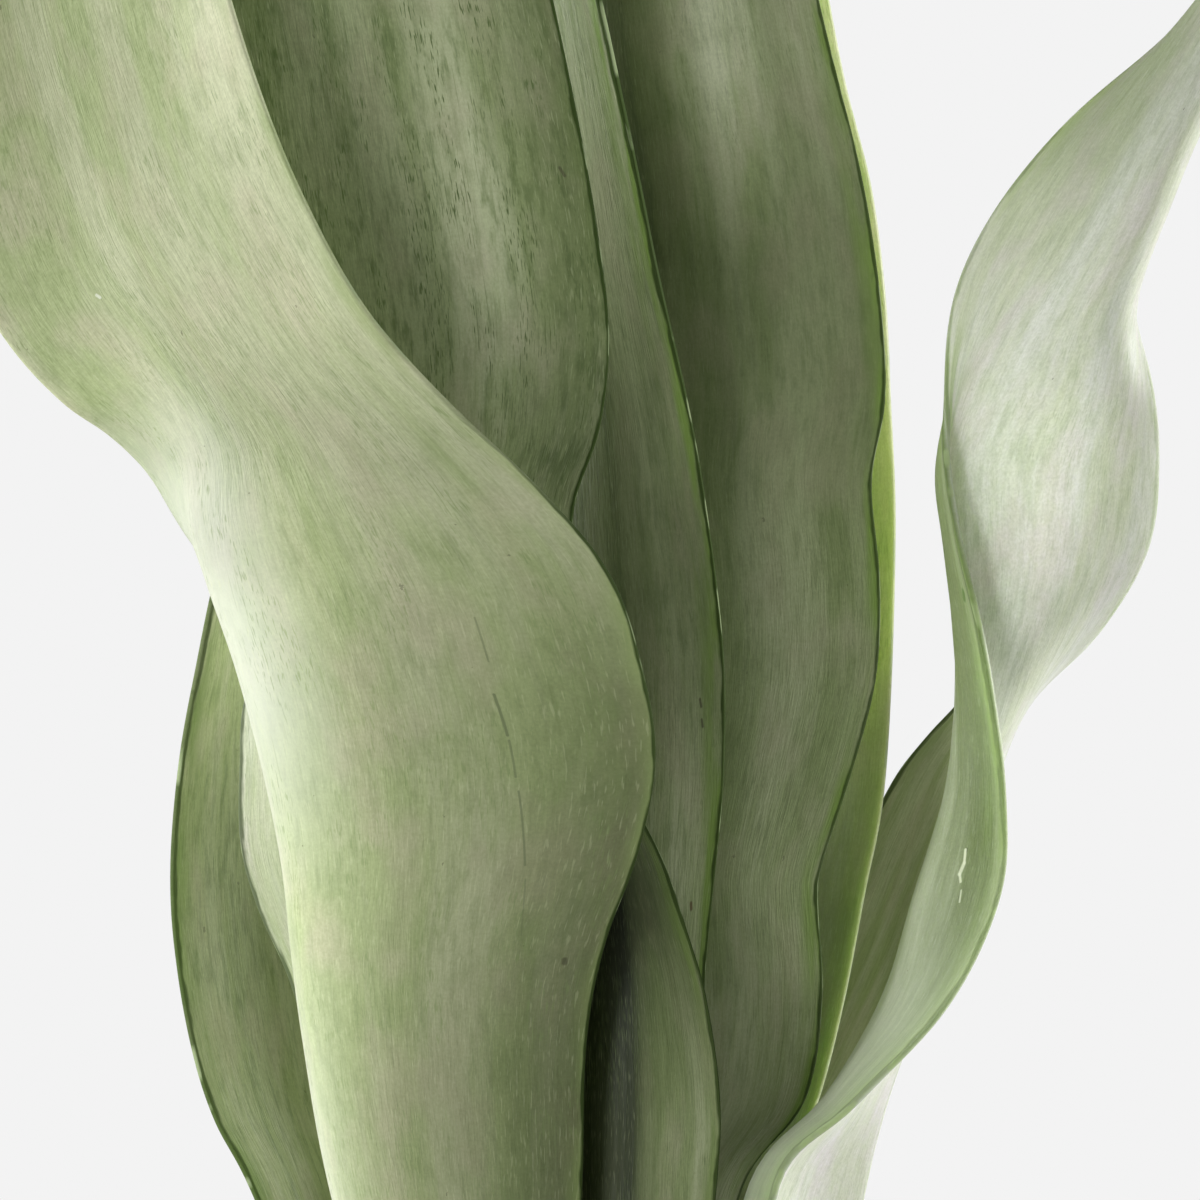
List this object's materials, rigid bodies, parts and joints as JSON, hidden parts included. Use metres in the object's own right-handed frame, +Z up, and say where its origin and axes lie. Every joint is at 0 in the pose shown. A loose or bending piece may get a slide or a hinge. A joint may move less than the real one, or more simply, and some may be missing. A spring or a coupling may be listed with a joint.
{
  "type": "potted moonshine snake plant",
  "caption": "Snake plant with broad wavy silvery green leaves standing in soil in a plain tapered pot.",
  "frame": {"origin": "middle of the pot's flat base, where it rests on the table", "axes": "+Z up along the pot's axis, -Y out of the plant's front, +X to its right seen from the front"},
  "size_m": [0.3282, 0.1955, 0.6341],
  "materials": {
    "leaf_pale": "satin",
    "leaf_mid": "satin",
    "leaf_dark": "satin",
    "soil": "rough",
    "pot": "matte"
  },
  "bodies": {
    "root": {"leaf_front_wavy": "leaf_pale", "leaf_behind_front": "leaf_mid", "leaf_edge_on": "leaf_mid", "leaf_broad_right": "leaf_mid", "leaf_rear_right": "leaf_mid", "leaf_twisted": "leaf_pale", "leaf_leaning": "leaf_dark", "leaf_short_front": "leaf_dark", "leaf_left_dark": "leaf_dark", "leaf_left_pale": "leaf_pale", "leaf_back_tall": "leaf_mid", "leaf_back_short": "leaf_mid", "soil": "soil", "pot": "pot"}
  },
  "joints": []
}
